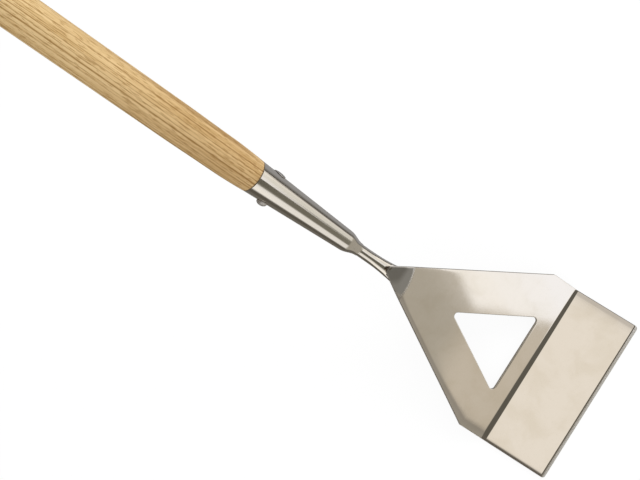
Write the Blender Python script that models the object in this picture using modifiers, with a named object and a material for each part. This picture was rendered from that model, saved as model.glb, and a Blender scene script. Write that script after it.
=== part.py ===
# Dutch hoe: a bent stainless blade and plate, welded to a neck rod that carries a
# conical socket, with an ash shaft held in the socket by one cross rivet.
# Metres, +Z up. The blade lies flat on z = 0 with its cutting edge towards +Y,
# and the shaft rises towards -Y as it does in use.
import math

import bmesh
import bpy
import numpy as np
from mathutils import Matrix, Vector

# Clearance between pieces that touch or cut each other
CLEARANCE = 0.0003

# Head: one sheet, bent into a blade and an open triangular plate
SHEET = 0.0025
BLADE_WIDTH = 0.150
BLADE_LENGTH = 0.0601
BLADE_CORNER_RADIUS = 0.0025
GRIND_LENGTH = 0.0036
CUTTING_EDGE = 0.0007
EDGE_ROUNDING = 0.0004
PLATE_ANGLE = math.radians(27.0)
BEND_RADIUS = 0.008
SIDE_LENGTH = 0.0247
APEX_DISTANCE = 0.1588
SHOULDER_RADIUS = 0.002
TIP_WIDTH = 0.0046
TIP_RADIUS = 0.0034
TIP_REACH = 0.0027  # of rounded tip past the handle's foot
TIP_CURVE = 0.026
HANDLE_ANGLE = math.radians(40.5)
HOLE_FROM_BEND = 0.0161
ARM_WIDTH = 0.036
ARM_FLARE = math.radians(0.8)
HOLE_RADIUS = 0.003

# Neck: round rod, flattened into a tang under the plate's tip
ROD_DIAMETER = 0.0102
TANG_WIDTH = 0.018
TANG_THICKNESS = 0.004
TANG_LENGTH = 0.030
TANG_EDGE = 0.0022
FLARE_LENGTH = 0.022
FLARE_POWER = 2.4
FLARE_FLATTENING = 0.3
TANG_SQUARENESS = 1.5

# Socket: tapered shell with a solid rounded nose
SOCKET_START = 0.031
SOCKET_LENGTH = 0.1155
SOCKET_MOUTH_DIAMETER = 0.0275
SOCKET_TAPER = 0.0956
SOCKET_WALL = 0.0016
NOSE_LENGTH = 0.014
NOSE_SOLID = 0.040
NOSE_LIP = 0.0003
NOSE_POWER = 1.8
ROD_END_GAP = 0.004
TENON_END_GAP = 0.005

# Shaft
SHAFT_DIAMETER = 0.031
SHAFT_LENGTH = 1.350
COLLAR_DIAMETER = 0.0302
RIM_STEP = 0.0001
SHOULDER_LENGTH = 0.031
SHOULDER_POWER = 1.6
SWELL_LENGTH = 0.050
BUTT_LENGTH = 0.011
BUTT_POWER = 0.8

# Rivet, across the socket
RIVET_FROM_MOUTH = 0.0186
RIVET_SHANK = 0.005
DOME_DIAMETER = 0.009
DOME_HEIGHT = 0.0028
PEENED_DIAMETER = 0.011
PEENED_HEIGHT = 0.0012

# Facets
ROUND_SIDES = 64
NECK_SIDES = 40
HOLE_SIDES = 24
ARC_STEPS = 5
BEND_STEPS = 8
CURVE_STEPS = 8

# Sizes that follow from the ones above
APEX_HALF_ANGLE = math.atan(0.5 * BLADE_WIDTH / (APEX_DISTANCE - SIDE_LENGTH))
TIP_DISTANCE = APEX_DISTANCE - 0.5 * TIP_WIDTH / math.tan(APEX_HALF_ANGLE)
FOOT_DISTANCE = TIP_DISTANCE - TIP_REACH
HOLE_HALF_ANGLE = APEX_HALF_ANGLE - ARM_FLARE
HOLE_APEX = APEX_DISTANCE - ARM_WIDTH / math.sin(APEX_HALF_ANGLE)
BEND_LENGTH = (BEND_RADIUS + 0.5 * SHEET) * PLATE_ANGLE
ROD_RADIUS = 0.5 * ROD_DIAMETER
SOCKET_MOUTH = SOCKET_START + SOCKET_LENGTH
SOCKET_FLOOR = SOCKET_START + NOSE_SOLID
ROD_END = SOCKET_FLOOR - ROD_END_GAP
SHAFT_START = SOCKET_FLOOR + TENON_END_GAP
RIVET_PLACE = SOCKET_MOUTH - RIVET_FROM_MOUTH


def sheetFrame(distance):
    """Place on the sheet's middle surface, at a distance from the bend towards the
    tip: (y, z, slope). Past the foot it runs on straight, as the handle's direction."""
    y = 0.5 * BLADE_LENGTH
    z = 0.5 * SHEET
    slope = 0.0
    left = distance + BLADE_LENGTH
    stretches = (
        (BLADE_LENGTH - 0.5 * BEND_LENGTH, 0.0),
        (BEND_LENGTH, PLATE_ANGLE),
        (FOOT_DISTANCE - TIP_CURVE - 0.5 * BEND_LENGTH, 0.0),
        (TIP_CURVE, HANDLE_ANGLE - PLATE_ANGLE),
        (math.inf, 0.0),
    )
    for length, turn in stretches:
        step = min(left, length)
        if turn:
            radius = length / turn
            end = slope + step / radius
            y -= radius * (math.sin(end) - math.sin(slope))
            z += radius * (math.cos(slope) - math.cos(end))
            slope = end
        else:
            y -= step * math.cos(slope)
            z += step * math.sin(slope)
        left -= step
        if left <= 0.0:
            break
    return y, z, slope


def onSheet(x, distance, height):
    """The point that height above the middle surface at (x, distance)."""
    y, z, slope = sheetFrame(distance)
    return Vector((x, y + height * math.sin(slope), z + height * math.cos(slope)))


def coneRadius(u):
    """The socket's outer radius, u metres from the foot along the handle."""
    return 0.5 * (SOCKET_MOUTH_DIAMETER - SOCKET_TAPER * (SOCKET_MOUTH - u))


def boreRadius(u):
    """The radius of the socket's tapered inside."""
    return coneRadius(u) - SOCKET_WALL


def makeMaterial(name, colour, roughness, metallic):
    material = bpy.data.materials.new(name)
    material.use_nodes = True
    shader = material.node_tree.nodes["Principled BSDF"]
    shader.inputs["Base Color"].default_value = (*colour, 1.0)
    shader.inputs["Roughness"].default_value = roughness
    shader.inputs["Metallic"].default_value = metallic
    return material


def addObject(name, data, collection, parent=None):
    item = bpy.data.objects.new(name, data)
    collection.objects.link(item)
    item.parent = parent
    return item


def evenShading(item):
    """Lets the large faces set the shading, so that thin roundings don't streak it."""
    even = item.modifiers.new("even_shading", "WEIGHTED_NORMAL")
    even.keep_sharp = True


def shadeSmooth(item):
    item.data.shade_smooth()
    item.data.set_sharp_from_angle(angle=math.radians(35.0))
    evenShading(item)


def roundedOutline(corners, radii):
    """The closed outline through the corners, each rounded by an arc of its radius."""
    points = []
    count = len(corners)
    for i, radius in enumerate(radii):
        corner = Vector(corners[i])
        back = (Vector(corners[i - 1]) - corner).normalized()
        ahead = (Vector(corners[(i + 1) % count]) - corner).normalized()
        half = 0.5 * back.angle(ahead)
        centre = corner + (back + ahead).normalized() * radius / math.sin(half)
        start = corner + back * radius / math.tan(half) - centre
        end = corner + ahead * radius / math.tan(half) - centre
        for j in range(ARC_STEPS + 1):
            points.append(centre + radius * start.slerp(end, j / ARC_STEPS))
    return points


def addSpline(curve, points):
    spline = curve.splines.new("POLY")
    spline.points.add(len(points) - 1)
    for place, point in zip(spline.points, points):
        place.co = (point[0], point[1], 0.0, 1.0)
    spline.use_cyclic_u = True


def turnedMesh(name, profile, closed):
    """A mesh of the profile's (radius, height) points, ready for a Screw modifier."""
    mesh = bpy.data.meshes.new(name)
    count = len(profile)
    edges = [(i, (i + 1) % count) for i in range(count if closed else count - 1)]
    mesh.from_pydata([(r, 0.0, z) for r, z in profile], edges, [])
    return mesh


def addScrew(item):
    screw = item.modifiers.new("turn", "SCREW")
    screw.axis = "Z"
    screw.steps = ROUND_SIDES
    screw.render_steps = ROUND_SIDES
    screw.use_merge_vertices = True
    screw.merge_threshold = 0.00001
    screw.use_smooth_shade = True


def addBoolean(item, operation, other):
    boolean = item.modifiers.new(operation.lower(), "BOOLEAN")
    boolean.operation = operation
    boolean.solver = "EXACT"
    boolean.object = other


def makeHead(collection):
    """The flat blank with its triangular hole, ground along the front, then bent."""
    halfWidth = 0.5 * BLADE_WIDTH
    halfTip = 0.5 * TIP_WIDTH
    right = [(halfWidth, -BLADE_LENGTH), (halfWidth, SIDE_LENGTH), (halfTip, TIP_DISTANCE)]
    left = [(-x, d) for x, d in reversed(right)]
    cornerRadii = [BLADE_CORNER_RADIUS, SHOULDER_RADIUS, TIP_RADIUS]
    outline = roundedOutline(right + left, cornerRadii + cornerRadii[::-1])
    holeHalf = (HOLE_APEX - HOLE_FROM_BEND) * math.tan(HOLE_HALF_ANGLE)
    holeCorners = [(holeHalf, HOLE_FROM_BEND), (0.0, HOLE_APEX), (-holeHalf, HOLE_FROM_BEND)]
    hole = roundedOutline(holeCorners, [HOLE_RADIUS] * 3)

    curve = bpy.data.curves.new("blank", "CURVE")
    curve.dimensions = "2D"
    curve.fill_mode = "BOTH"
    curve.extrude = 0.5 * SHEET - EDGE_ROUNDING
    curve.bevel_depth = EDGE_ROUNDING
    curve.bevel_resolution = 1
    curve.offset = -EDGE_ROUNDING
    addSpline(curve, outline)
    addSpline(curve, hole)
    blank = addObject("blank", curve, collection)
    bpy.context.view_layer.update()
    graph = bpy.context.evaluated_depsgraph_get()
    mesh = bpy.data.meshes.new_from_object(blank.evaluated_get(graph))
    mesh.name = "hoe_head"
    bpy.data.objects.remove(blank)

    work = bmesh.new()
    work.from_mesh(mesh)
    bmesh.ops.remove_doubles(work, verts=work.verts, dist=0.000001)
    bends = np.linspace(-0.5 * BEND_LENGTH, 0.5 * BEND_LENGTH, BEND_STEPS + 1)
    curls = np.linspace(FOOT_DISTANCE - TIP_CURVE, FOOT_DISTANCE, CURVE_STEPS + 1)
    grind = [GRIND_LENGTH - BLADE_LENGTH]
    for station in (*grind, *bends, *curls):
        everything = work.verts[:] + work.edges[:] + work.faces[:]
        place = (0.0, station, 0.0)
        bmesh.ops.bisect_plane(
            work, geom=everything, dist=0.000001, plane_co=place, plane_no=(0.0, 1.0, 0.0)
        )
    for vert in work.verts:
        x, distance, height = vert.co
        ground = min(1.0, (distance + BLADE_LENGTH) / GRIND_LENGTH)
        thickness = CUTTING_EDGE + (SHEET - CUTTING_EDGE) * max(0.0, ground)
        height = (height + 0.5 * SHEET) * thickness / SHEET - 0.5 * SHEET
        vert.co = onSheet(x, distance, height)
    bmesh.ops.recalc_face_normals(work, faces=work.faces)
    work.to_mesh(mesh)
    work.free()
    head = addObject("hoe_head", mesh, collection)
    head.data.materials.append(makeMaterial("head_steel", (0.62, 0.60, 0.55), 0.22, 1.0))
    shadeSmooth(head)
    return head


def neckSection(u):
    """Half width, depth and squareness of the neck, u metres past the foot."""
    reach = min(1.0, max(0.0, (FLARE_LENGTH - u) / (FLARE_LENGTH + 0.6 * TANG_LENGTH)))
    spread = reach**FLARE_POWER
    # The flare is pressed a little flat, and the tang under the plate fully flat
    pressed = min(1.0, max(0.0, 1.5 * (1.0 - u / FLARE_LENGTH)))
    under = min(1.0, max(0.0, -u / (0.6 * TANG_LENGTH)))
    square = 0.5 - 0.5 * math.cos(math.pi * under)
    flatten = FLARE_FLATTENING * (0.5 - 0.5 * math.cos(math.pi * pressed))
    flatten += (1.0 - FLARE_FLATTENING) * square
    halfWidth = ROD_RADIUS + (0.5 * TANG_WIDTH - ROD_RADIUS) * spread
    depth = ROD_DIAMETER + (TANG_THICKNESS - ROD_DIAMETER) * flatten
    toEnd = min(1.0, (u + TANG_LENGTH) / (0.5 * TANG_WIDTH))
    rounding = math.sqrt(max(0.0, 1.0 - (1.0 - toEnd) ** 2))
    depth -= (TANG_THICKNESS - TANG_EDGE) * (1.0 - toEnd)
    return halfWidth * rounding, depth, 2.0 + TANG_SQUARENESS * square


def makeNeck(collection):
    """A loft from the rod's circle to the tang's flat oval, under the plate's tip."""
    halfTang = 0.5 * TANG_WIDTH
    straight = [ROD_END, FLARE_LENGTH]
    flare = list(np.linspace(FLARE_LENGTH, halfTang - TANG_LENGTH, 16)[1:])
    nose = [halfTang * (1.0 - math.sin(turn)) - TANG_LENGTH for turn in np.linspace(0.2, 1.5, 9)]
    work = bmesh.new()
    rings = []
    angles = np.linspace(0.0, 2.0 * math.pi, NECK_SIDES, endpoint=False)
    for u in straight + flare + nose:
        halfWidth, depth, power = neckSection(u)
        top = -0.5 * SHEET - CLEARANCE
        ring = []
        for angle in angles:
            across = math.copysign(abs(math.cos(angle)) ** (2.0 / power), math.cos(angle))
            up = math.copysign(abs(math.sin(angle)) ** (2.0 / power), math.sin(angle))
            height = top - 0.5 * depth + 0.5 * depth * up
            ring.append(work.verts.new(onSheet(halfWidth * across, FOOT_DISTANCE + u, height)))
        rings.append(ring)
    for one, other in zip(rings, rings[1:]):
        for i in range(len(angles)):
            j = (i + 1) % len(angles)
            work.faces.new((one[i], one[j], other[j], other[i]))
    work.faces.new(rings[0])
    work.faces.new(rings[-1])
    bmesh.ops.recalc_face_normals(work, faces=work.faces)
    mesh = bpy.data.meshes.new("neck")
    work.to_mesh(mesh)
    work.free()
    neck = addObject("neck", mesh, collection)
    neck.data.materials.append(makeMaterial("neck_steel", (0.66, 0.64, 0.60), 0.16, 1.0))
    shadeSmooth(neck)
    return neck


def makeSocket(collection, axis, rivetHole):
    """Turned shell: tapered outside, rounded nose, rod bore and tapered shaft bore."""
    rodBore = ROD_RADIUS + CLEARANCE
    noseEnd = SOCKET_START + NOSE_LENGTH
    nose = []
    for part in np.linspace(1.0, 0.0, 13):
        u = SOCKET_START + NOSE_LENGTH * part
        root = rodBore + NOSE_LIP
        swell = math.sin(0.5 * math.pi * part) ** NOSE_POWER
        nose.append((root + (coneRadius(u) - root) * swell, u))
    outside = [(coneRadius(u), u) for u in np.linspace(SOCKET_MOUTH, noseEnd, 5)[:-1]]
    inside = [
        (rodBore, SOCKET_START),
        (rodBore, SOCKET_FLOOR),
        (boreRadius(SOCKET_FLOOR), SOCKET_FLOOR),
        (boreRadius(SOCKET_MOUTH), SOCKET_MOUTH),
    ]
    mesh = turnedMesh("socket", outside + nose + inside, closed=True)
    socket = addObject("socket", mesh, collection, axis)
    addScrew(socket)
    addBoolean(socket, "DIFFERENCE", rivetHole)
    evenShading(socket)
    socket.data.materials.append(makeMaterial("socket_steel", (0.64, 0.62, 0.58), 0.14, 1.0))
    return socket


def makeShaft(collection, axis, rivetHole):
    """Turned ash: domed butt, long cylinder, rounded shoulder and tapered tenon."""
    radius = 0.5 * SHAFT_DIAMETER
    collar = 0.5 * COLLAR_DIAMETER
    rim = 0.5 * SOCKET_MOUTH_DIAMETER + RIM_STEP
    end = SHAFT_START + SHAFT_LENGTH
    butt = []
    for turn in np.linspace(0.0, 0.5 * math.pi, 9):
        spread = math.sin(turn) ** BUTT_POWER
        butt.append((radius * spread, end - BUTT_LENGTH * (1.0 - math.cos(turn))))
    seat = SOCKET_MOUTH + CLEARANCE
    shoulder = []
    for part in np.linspace(0.0, 1.0, 10):
        drop = (collar - rim) * part**SHOULDER_POWER
        shoulder.append((collar - drop, seat + SHOULDER_LENGTH * (1.0 - part)))
    swell = [(radius, seat + SHOULDER_LENGTH + SWELL_LENGTH)]
    tenon = [
        (boreRadius(seat) - CLEARANCE, seat),
        (boreRadius(SHAFT_START) - CLEARANCE, SHAFT_START),
        (0.0, SHAFT_START),
    ]
    mesh = turnedMesh("shaft", butt + swell + shoulder + tenon, closed=False)
    shaft = addObject("ash_shaft", mesh, collection, axis)
    addScrew(shaft)
    addBoolean(shaft, "DIFFERENCE", rivetHole)
    evenShading(shaft)
    shaft.data.materials.append(makeMaterial("ash_wood", (0.62, 0.42, 0.21), 0.5, 0.0))
    return shaft


def makeRivetHole(cutters, axis):
    """The hole that the rivet passes through, in the socket and in the tenon."""
    mesh = bpy.data.meshes.new("rivet_hole")
    work = bmesh.new()
    bmesh.ops.create_cone(
        work,
        cap_ends=True,
        segments=HOLE_SIDES,
        radius1=0.5 * RIVET_SHANK + CLEARANCE,
        radius2=0.5 * RIVET_SHANK + CLEARANCE,
        depth=2.0 * SOCKET_MOUTH_DIAMETER,
        matrix=Matrix.Rotation(0.5 * math.pi, 4, "Y"),
    )
    work.to_mesh(mesh)
    work.free()
    hole = addObject("rivet_hole", mesh, cutters, axis)
    hole.location = (0.0, 0.0, RIVET_PLACE)
    return hole


def makeRivet(collection, cutters, axis):
    """Two heads formed over the socket, one domed and one peened, on one shank."""
    seat = coneRadius(RIVET_PLACE) + CLEARANCE
    work = bmesh.new()
    heads = (
        (1.0, DOME_DIAMETER, DOME_HEIGHT),
        (-1.0, PEENED_DIAMETER, PEENED_HEIGHT),
    )
    for side, diameter, height in heads:
        form = Matrix.Diagonal((height, 0.5 * diameter, 0.5 * diameter, 1.0))
        turn = Matrix.Rotation(0.5 * math.pi, 4, "Y")
        place = Matrix.Translation((side * seat, 0.0, 0.0))
        bmesh.ops.create_uvsphere(
            work, u_segments=32, v_segments=20, radius=1.0, matrix=place @ form @ turn
        )
    mesh = bpy.data.meshes.new("rivet")
    work.to_mesh(mesh)
    work.free()
    rivet = addObject("rivet", mesh, collection, axis)
    rivet.location = (0.0, 0.0, RIVET_PLACE)
    rivet.data.materials.append(makeMaterial("rivet_steel", (0.66, 0.64, 0.60), 0.22, 1.0))
    rivet.data.shade_smooth()

    work = bmesh.new()
    low = RIVET_PLACE - PEENED_DIAMETER
    high = RIVET_PLACE + PEENED_DIAMETER
    bmesh.ops.create_cone(
        work,
        cap_ends=True,
        segments=2 * ROUND_SIDES,
        radius1=coneRadius(low) + CLEARANCE,
        radius2=coneRadius(high) + CLEARANCE,
        depth=high - low,
        matrix=Matrix.Translation((0.0, 0.0, RIVET_PLACE)),
    )
    mesh = bpy.data.meshes.new("socket_form")
    work.to_mesh(mesh)
    work.free()
    form = addObject("socket_form", mesh, cutters, axis)

    work = bmesh.new()
    bmesh.ops.create_cone(
        work,
        cap_ends=True,
        segments=HOLE_SIDES,
        radius1=0.5 * RIVET_SHANK,
        radius2=0.5 * RIVET_SHANK,
        depth=2.0 * seat + PEENED_HEIGHT,
        matrix=Matrix.Rotation(0.5 * math.pi, 4, "Y"),
    )
    mesh = bpy.data.meshes.new("rivet_shank")
    work.to_mesh(mesh)
    work.free()
    shank = addObject("rivet_shank", mesh, cutters, axis)
    shank.location = (0.0, 0.0, RIVET_PLACE)
    addBoolean(rivet, "DIFFERENCE", form)
    addBoolean(rivet, "UNION", shank)
    evenShading(rivet)
    return rivet


def main():
    for item in list(bpy.data.objects):
        bpy.data.objects.remove(item)
    parts = bpy.data.collections.new("dutch_hoe")
    cutters = bpy.data.collections.new("cutters")
    for collection in (parts, cutters):
        bpy.context.scene.collection.children.link(collection)

    # The handle's axis starts under the plate's tip, where the rod touches the sheet
    foot = onSheet(0.0, FOOT_DISTANCE, -0.5 * SHEET - CLEARANCE - ROD_RADIUS)
    axis = addObject("handle_axis", None, parts)
    axis.location = foot
    axis.rotation_euler = (0.5 * math.pi - HANDLE_ANGLE, 0.0, 0.0)

    rivetHole = makeRivetHole(cutters, axis)
    makeHead(parts)
    makeNeck(parts)
    makeSocket(parts, axis, rivetHole)
    makeShaft(parts, axis, rivetHole)
    makeRivet(parts, cutters, axis)
    for item in cutters.objects:
        item.hide_render = True
        item.display_type = "WIRE"


main()
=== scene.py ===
import math

import bmesh
import bpy
import numpy as np
from mathutils import Matrix, Vector


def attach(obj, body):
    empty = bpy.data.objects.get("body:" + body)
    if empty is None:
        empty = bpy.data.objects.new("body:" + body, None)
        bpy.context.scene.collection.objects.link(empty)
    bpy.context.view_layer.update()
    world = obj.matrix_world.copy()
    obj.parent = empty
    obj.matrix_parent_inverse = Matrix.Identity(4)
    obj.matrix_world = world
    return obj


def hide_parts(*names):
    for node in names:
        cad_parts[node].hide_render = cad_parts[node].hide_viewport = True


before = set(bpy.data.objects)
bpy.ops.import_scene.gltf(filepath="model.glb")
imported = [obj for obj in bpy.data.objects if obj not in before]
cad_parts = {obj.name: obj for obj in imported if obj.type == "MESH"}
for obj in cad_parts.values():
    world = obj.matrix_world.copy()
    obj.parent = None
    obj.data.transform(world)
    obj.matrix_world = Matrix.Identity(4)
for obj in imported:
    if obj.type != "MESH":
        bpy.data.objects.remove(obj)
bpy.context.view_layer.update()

quarterTurn = 0.5 * math.pi
fullTurn = 2.0 * math.pi


# Shared sizes, in metres and radians. The blade lies flat on z = 0 with its edge
# towards +Y, and the handle rises towards -Y. Distances along the sheet are counted
# from the middle of the bend towards the tip.

blank = {
    "sheet": 0.0025,
    "bladeWidth": 0.150,
    "bladeLength": 0.0601,
    "sideLength": 0.0247,  # from the bend to the start of the slanted sides
    "apexDistance": 0.1588,  # from the bend to where the slanted sides would meet
    "tipWidth": 0.0046,
    "tipReach": 0.0027,  # of rounded tip past the handle's foot
    "tipCurve": 0.026,  # length of sheet that curls up towards the handle
    "plateAngle": math.radians(27.0),
    "handleAngle": math.radians(40.5),
    "bendRadius": 0.008,
    "rodRadius": 0.0051,  # of the neck that stands in the socket
    "gap": 0.0003,  # between pieces that touch
}
blank["apexHalf"] = math.atan(0.5 * blank["bladeWidth"] / (blank["apexDistance"] - blank["sideLength"]))
blank["tip"] = blank["apexDistance"] - 0.5 * blank["tipWidth"] / math.tan(blank["apexHalf"])
blank["foot"] = blank["tip"] - blank["tipReach"]
halfSheet = 0.5 * blank["sheet"]


def sheetLine(distance, bendRadius):
    # Walks the middle of the sheet from the cutting edge: flat blade, bend, flat plate,
    # long tip curve, then straight on along the handle. Gives y, z and slope.
    y = np.full(np.shape(distance), 0.5 * blank["bladeLength"])
    z = np.full(np.shape(distance), halfSheet)
    slope = np.zeros(np.shape(distance))
    left = distance + blank["bladeLength"]
    bend = (bendRadius + halfSheet) * blank["plateAngle"]
    stretches = (
        (blank["bladeLength"] - 0.5 * bend, 0.0),
        (bend, blank["plateAngle"]),
        (blank["foot"] - blank["tipCurve"] - 0.5 * bend, 0.0),
        (blank["tipCurve"], blank["handleAngle"] - blank["plateAngle"]),
        (math.inf, 0.0),
    )
    for length, turn in stretches:
        step = np.clip(left, 0.0, length)
        if turn:
            radius = length / turn
            end = slope + step / radius
            y = y - radius * (np.sin(end) - np.sin(slope))
            z = z + radius * (np.cos(slope) - np.cos(end))
            slope = end
        else:
            y = y - step * np.cos(slope)
            z = z + step * np.sin(slope)
        left = left - step
    return y, z, slope


def onSheet(x, distance, height, bendRadius=blank["bendRadius"]):
    # A point at height above the middle of the sheet, square to its slope.
    x, distance, height = np.broadcast_arrays(x, distance, height)
    y, z, slope = sheetLine(distance, bendRadius)
    return np.stack((x, y + height * np.sin(slope), z + height * np.cos(slope)), axis=-1)


# The handle's foot and axes: along it, across it, and square to both on its upper side
foot = onSheet(0.0, blank["foot"], -halfSheet - blank["gap"] - blank["rodRadius"])
tilt = quarterTurn - blank["handleAngle"]
acrossHandle = np.array((1.0, 0.0, 0.0))
aboveHandle = np.array((0.0, math.cos(tilt), math.sin(tilt)))
alongHandle = np.array((0.0, -math.sin(tilt), math.cos(tilt)))


def onHandle(across, above, along):
    # A point that far across, above and along the handle's axis from its foot.
    across, above, along = (part[..., None] for part in np.broadcast_arrays(across, above, along))
    return foot + across * acrossHandle + above * aboveHandle + along * alongHandle


def unit(vector):
    return vector / np.linalg.norm(vector)


def between(first, last, share):
    return first + (last - first) * share


def cubicStep(value):
    value = np.clip(value, 0.0, 1.0)
    return value * value * (3.0 - 2.0 * value)


# Mesh building

meshing = {
    "merge": 0.000002,  # points nearer than this become one
    "flat": 0.0000005,  # and faces thinner than this are dissolved
}


def gridFaces(rows, columns, wrap=False):
    # Quads over a grid of rows by columns; wrap joins the last column to the first.
    index = np.arange(rows * columns).reshape(rows, columns)
    if wrap:
        index = np.concatenate((index, index[:, :1]), axis=1)
    corners = (index[:-1, :-1], index[:-1, 1:], index[1:, 1:], index[1:, :-1])
    return np.stack(corners, axis=-1).reshape(-1, 4)


def joinGrids(parts):
    points, faces, count = [], [], 0
    for grid, quads in parts:
        grid = grid.reshape(-1, 3)
        points.append(grid)
        faces.append(quads + count)
        count += len(grid)
    return np.concatenate(points), np.concatenate(faces)


def addObject(name, data):
    made = bpy.data.objects.new(name, data)
    bpy.context.scene.collection.objects.link(made)
    return made


def addPiece(name, points, faces, material, node, slot):
    # Puts the arrays into a mesh, closes its seams and poles, and turns it to face out.
    mesh = bpy.data.meshes.new(name)
    mesh.from_pydata(points.tolist(), [], faces.tolist())
    work = bmesh.new()
    work.from_mesh(mesh)
    bmesh.ops.remove_doubles(work, verts=work.verts, dist=meshing["merge"])
    bmesh.ops.dissolve_degenerate(work, edges=work.edges, dist=meshing["flat"])
    bmesh.ops.recalc_face_normals(work, faces=work.faces)
    openEdges = sum(not edge.is_manifold for edge in work.edges)
    work.to_mesh(mesh)
    work.free()
    mesh.shade_smooth()
    mesh.materials.append(material)
    piece = addObject(name, mesh)
    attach(piece, "root")
    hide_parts(node)
    print(f"{name}: {len(mesh.polygons)} faces, {openEdges} open edges")


def addRoundPiece(name, rings, material, node, slot):
    # Joins rings of points, one row for each ring, into a closed round piece.
    faces = gridFaces(*rings.shape[:2], wrap=True)
    addPiece(name, rings.reshape(-1, 3), faces, material, node, slot)


# Shader building

def fill(node, inputs):
    # Links an input whose value is a socket, and sets any other.
    for key, value in inputs.items():
        if isinstance(value, bpy.types.NodeSocket):
            node.id_data.links.new(value, node.inputs[key])
        else:
            node.inputs[key].default_value = value


def addNode(tree, kind, inputs=None, **settings):
    made = tree.nodes.new(kind)
    for key, value in settings.items():
        setattr(made, key, value)
    fill(made, inputs or {})
    return made


def calc(tree, operation, *values, clamp=False):
    inputs = dict(enumerate(values))
    return addNode(tree, "ShaderNodeMath", inputs, operation=operation, use_clamp=clamp).outputs[0]


def remap(tree, value, fromMin, fromMax, toMin=0.0, toMax=1.0):
    inputs = {"Value": value, "From Min": fromMin, "From Max": fromMax, "To Min": toMin, "To Max": toMax}
    return addNode(tree, "ShaderNodeMapRange", inputs, interpolation_type="SMOOTHSTEP").outputs[0]


def opaque(colour):
    return (*colour, 1.0)


white = opaque((1.0, 1.0, 1.0))


def mixColour(tree, factor, under, over, blend="MIX"):
    inputs = {0: factor, 6: under, 7: over}
    return addNode(tree, "ShaderNodeMix", inputs, data_type="RGBA", blend_type=blend).outputs[2]


def noise(tree, vector, scale, detail=2.0, roughness=0.5, distortion=0.0):
    inputs = {"Vector": vector, "Scale": scale, "Detail": detail}
    inputs.update({"Roughness": roughness, "Distortion": distortion})
    return addNode(tree, "ShaderNodeTexNoise", inputs).outputs["Fac"]


def grain(tree, vector, scales, detail=2.0, roughness=0.5):
    # Noise in a space that is scaled by a different amount on each axis.
    scaled = addNode(tree, "ShaderNodeMapping", {"Vector": vector, "Scale": scales}).outputs[0]
    return noise(tree, scaled, 1.0, detail, roughness)


def objectSpace(tree):
    return addNode(tree, "ShaderNodeTexCoord").outputs["Object"]


def handleSpace(tree):
    # The object's own coordinates turned so that Z runs up the handle from the foot.
    place = -(Matrix.Rotation(-tilt, 3, "X") @ Vector(foot))
    inputs = {"Vector": objectSpace(tree), "Location": place, "Rotation": (-tilt, 0.0, 0.0)}
    return addNode(tree, "ShaderNodeMapping", inputs).outputs[0]


def splitSpace(tree, vector):
    return addNode(tree, "ShaderNodeSeparateXYZ", {0: vector}).outputs


def newGroup(name, inputs, outputs):
    # A node group with sockets of the kinds given.
    group = bpy.data.node_groups.new(name, "ShaderNodeTree")
    for way, sockets in (("INPUT", inputs), ("OUTPUT", outputs)):
        for label, kind in sockets.items():
            group.interface.new_socket(label, in_out=way, socket_type="NodeSocket" + kind)
    return group, addNode(group, "NodeGroupInput").outputs, addNode(group, "NodeGroupOutput")


def newMaterial(name):
    material = bpy.data.materials.new(name)
    material.use_nodes = True
    tree = material.node_tree
    return material, tree, tree.nodes["Principled BSDF"]


def setSurface(tree, shader, colour, rough, height, strength, distance):
    # Feeds a surface's colour, roughness and bump into its shader.
    inputs = {"Strength": strength, "Distance": distance, "Height": height}
    bump = addNode(tree, "ShaderNodeBump", inputs).outputs["Normal"]
    fill(shader, {"Base Color": colour, "Roughness": rough, "Normal": bump})


# Polished stainless: a cloudy tone, polishing lines along the piece, and soft smears

polish = {
    # Each noise: scale, or a scale for each axis, then detail, roughness and distortion
    "cloudNoise": (38.0, 3.0, 0.55, 0.4),
    "cloudRange": (0.40, 0.72),
    "speckNoise": (210.0, 2.0, 0.6),
    "speckRange": (0.5, 0.8),
    "speckTone": 0.18,
    "lineNoise": ((2600.0, 90.0, 2600.0), 2.0, 0.6),  # fine lines that run along Y
    "lineRange": (0.45, 0.8),
    "lineTone": 0.12,
    "lineRough": 0.015,
    "lineDepth": 0.6,
    "speckDepth": 0.4,
    "smearNoise": (85.0, 4.0, 0.65, 0.8),
    "smearRange": (0.42, 0.75),
    "bumpDistance": 0.0001,
}


def makeSteelGroup():
    inputs = {"Coords": "Vector", "Bright": "Color", "Dull": "Color"}
    inputs.update(dict.fromkeys(("Cloud", "Gloss", "Smear"), "Float"))
    outputs = {"Color": "Color", "Roughness": "Float", "Height": "Float"}
    group, given, made = newGroup("polishedSteel", inputs, outputs)
    coords = given["Coords"]
    cloud = noise(group, coords, *polish["cloudNoise"])
    speck = noise(group, coords, *polish["speckNoise"])
    lines = grain(group, coords, *polish["lineNoise"])
    smear = noise(group, coords, *polish["smearNoise"])
    tone = calc(group, "MULTIPLY", remap(group, cloud, *polish["cloudRange"]), given["Cloud"])
    specks = remap(group, speck, *polish["speckRange"])
    tone = calc(group, "MULTIPLY_ADD", specks, polish["speckTone"], tone)
    marks = remap(group, lines, *polish["lineRange"])
    tone = calc(group, "MULTIPLY_ADD", marks, polish["lineTone"], tone, clamp=True)
    smears = remap(group, smear, *polish["smearRange"])
    rough = calc(group, "MULTIPLY_ADD", smears, given["Smear"], given["Gloss"])
    rough = calc(group, "MULTIPLY_ADD", lines, polish["lineRough"], rough)
    height = calc(group, "MULTIPLY", lines, polish["lineDepth"])
    height = calc(group, "MULTIPLY_ADD", speck, polish["speckDepth"], height)
    colour = mixColour(group, tone, given["Bright"], given["Dull"])
    fill(made, {"Color": colour, "Roughness": rough, "Height": height})
    return group


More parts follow.
